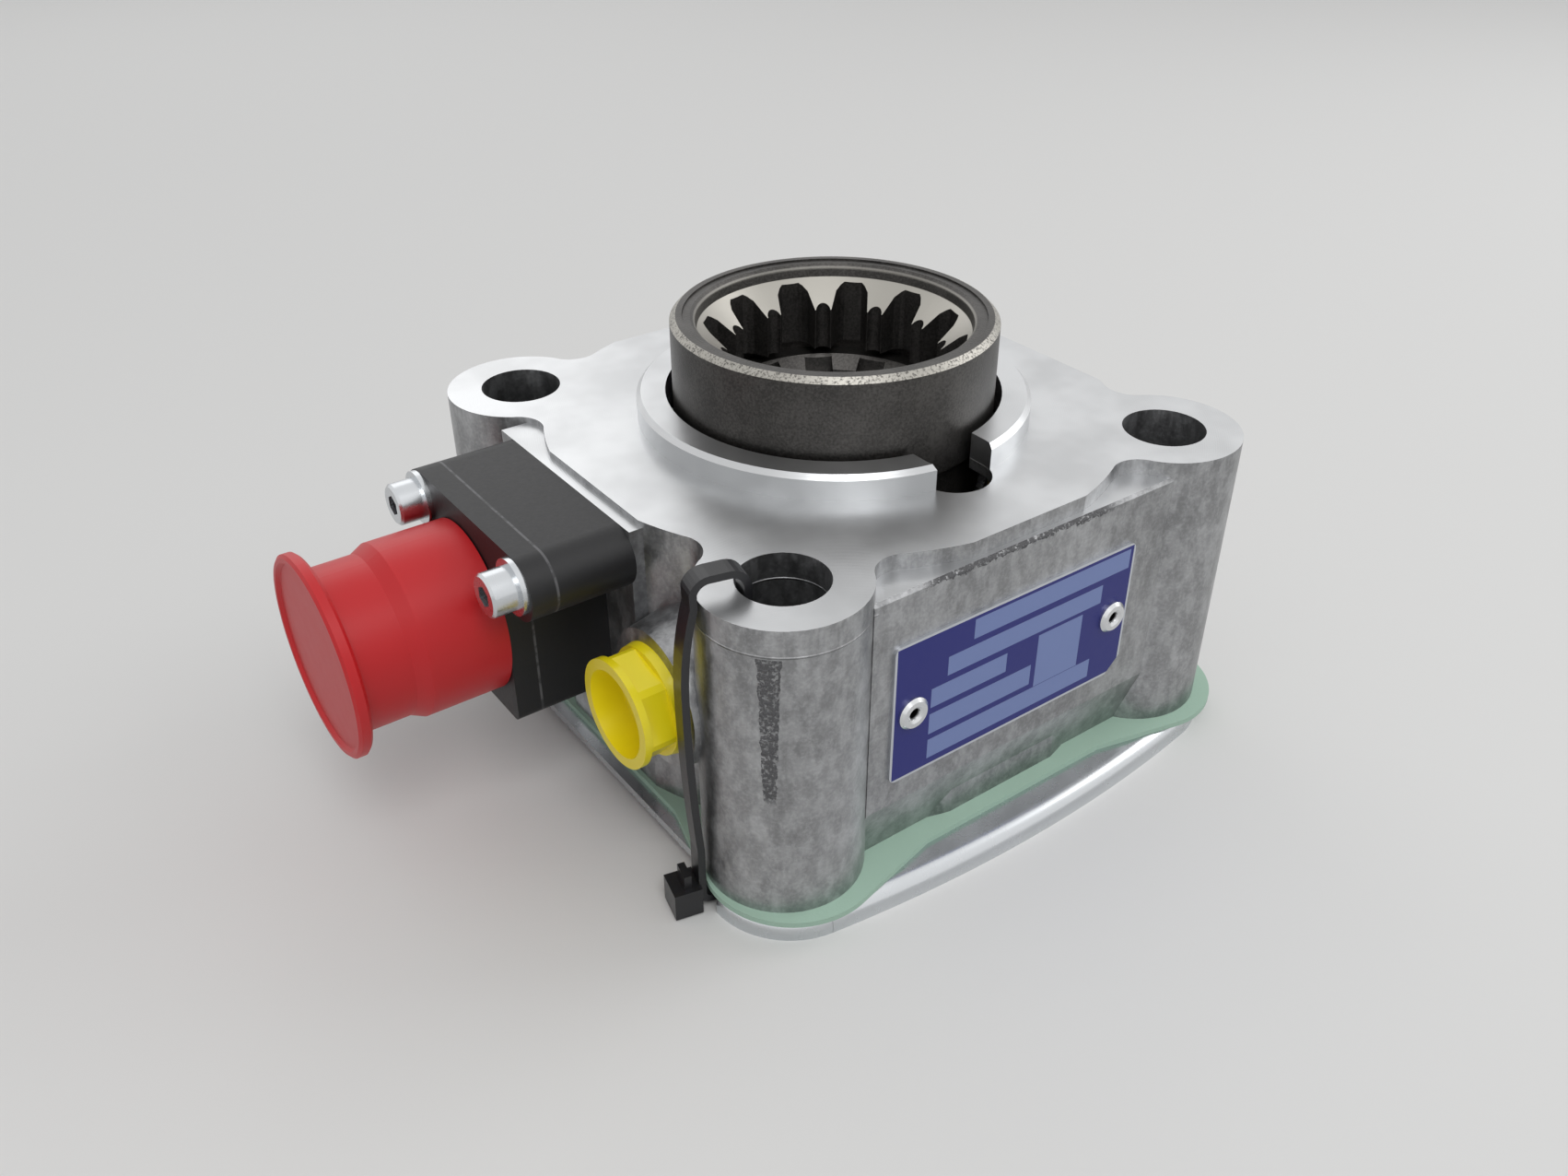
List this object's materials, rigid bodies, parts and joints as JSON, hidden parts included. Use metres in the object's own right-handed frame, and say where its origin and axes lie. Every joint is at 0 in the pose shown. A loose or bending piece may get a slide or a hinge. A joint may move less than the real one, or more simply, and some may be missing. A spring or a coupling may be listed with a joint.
{
  "type": "power take off unit",
  "caption": "Air-shifted power take off unit with cast square body, pilot collar, toothed coupling sleeve, valve with capped connector and a sheet cover on the pump face.",
  "frame": {"origin": "shaft axis at the machined mounting face", "axes": "+Z along the shaft towards the gearbox, -Y towards the nameplate side, -X towards the valve side"},
  "size_m": [0.1488, 0.1154, 0.075],
  "materials": {
    "cast_aluminium": "satin machined faces, matt cast sides",
    "dark_steel": "phosphated",
    "steel": "ground",
    "zinc_steel": "zinc plated",
    "brass": "satin",
    "copper": "satin",
    "rubber": "matt",
    "black_plastic": "matt, moulded",
    "red_plastic": "glossy, slightly see-through",
    "yellow_plastic": "glossy",
    "black_nylon": "satin",
    "blue_plate": "printed aluminium",
    "rivet_aluminium": "bright",
    "green_board": "matt"
  },
  "bodies": {
    "casing": {"housing": "cast_aluminium", "bearing_carrier": "cast_aluminium", "carrier_o_ring": "rubber", "carrier_piston_seal": "rubber", "carrier_snap_ring": "steel", "bearing_spacer": "steel", "shaft_seal": "rubber", "upper_bearing_outer_ring": "steel", "lower_bearing_outer_ring": "steel", "return_spring": "steel", "valve_body": "black_plastic", "connector_housing": "black_plastic", "connector_pins": "brass", "solenoid_coil": "copper", "valve_o_rings": "rubber", "valve_screws": "zinc_steel", "valve_washers": "zinc_steel", "protective_cap": "red_plastic", "port_plug": "yellow_plastic", "nameplate": "blue_plate", "nameplate_rivets": "rivet_aluminium", "gasket": "green_board", "cover_plate": "zinc_steel", "cable_tie": "black_nylon"},
    "rotor": {"output_shaft": "steel", "shaft_core_plug": "steel", "upper_bearing_inner_ring": "steel", "lower_bearing_inner_ring": "steel"},
    "sleeve": {"coupling_sleeve": "dark_steel", "shift_bearing_inner_ring": "steel", "sleeve_snap_ring": "steel"},
    "piston_unit": {"piston": "cast_aluminium", "piston_seal": "rubber", "piston_snap_ring": "steel", "shift_bearing_outer_ring": "steel"},
    "upper_cage": {"upper_bearing_cage": "brass", "upper_bearing_balls": "steel"},
    "lower_cage": {"lower_bearing_cage": "brass", "lower_bearing_balls": "steel"},
    "shift_cage": {"shift_bearing_cage": "brass", "shift_bearing_balls": "steel"},
    "valve_armature": {"armature": "steel", "armature_spring": "steel"}
  },
  "joints": [
    {"name": "output_spin", "type": "hinge", "parent": "casing", "child": "rotor", "pos_m": [0, 0, 0], "axis": [0, 0, 1], "continuous": true},
    {"name": "piston_slide", "type": "slide", "parent": "casing", "child": "piston_unit", "axis": [0, 0, 1], "range_m": [0, 0.0075], "stiffness_N_per_m": 6000, "springref_m": -0.004, "deforming": ["return_spring"]},
    {"name": "sleeve_slide", "type": "slide", "parent": "rotor", "child": "sleeve", "axis": [0, 0, 1], "range_m": [0, 0.0075]},
    {"name": "upper_cage_spin", "type": "hinge", "parent": "casing", "child": "upper_cage", "pos_m": [0, 0, -0.026], "axis": [0, 0, 1], "continuous": true},
    {"name": "lower_cage_spin", "type": "hinge", "parent": "casing", "child": "lower_cage", "pos_m": [0, 0, -0.037], "axis": [0, 0, 1], "continuous": true},
    {"name": "shift_cage_spin", "type": "hinge", "parent": "piston_unit", "child": "shift_cage", "pos_m": [0, 0, -0.015], "axis": [0, 0, 1], "continuous": true},
    {"name": "armature_slide", "type": "slide", "parent": "casing", "child": "valve_armature", "axis": [-1, 0, 0], "range_m": [0, 0.0008], "stiffness_N_per_m": 500, "springref_m": -0.0006}
  ],
  "couplings": [
    {"joint": "sleeve_slide", "follows": "piston_slide", "ratio": 1},
    {"joint": "upper_cage_spin", "follows": "output_spin", "ratio": 0.46},
    {"joint": "lower_cage_spin", "follows": "output_spin", "ratio": 0.46},
    {"joint": "shift_cage_spin", "follows": "output_spin", "ratio": 0.46}
  ]
}
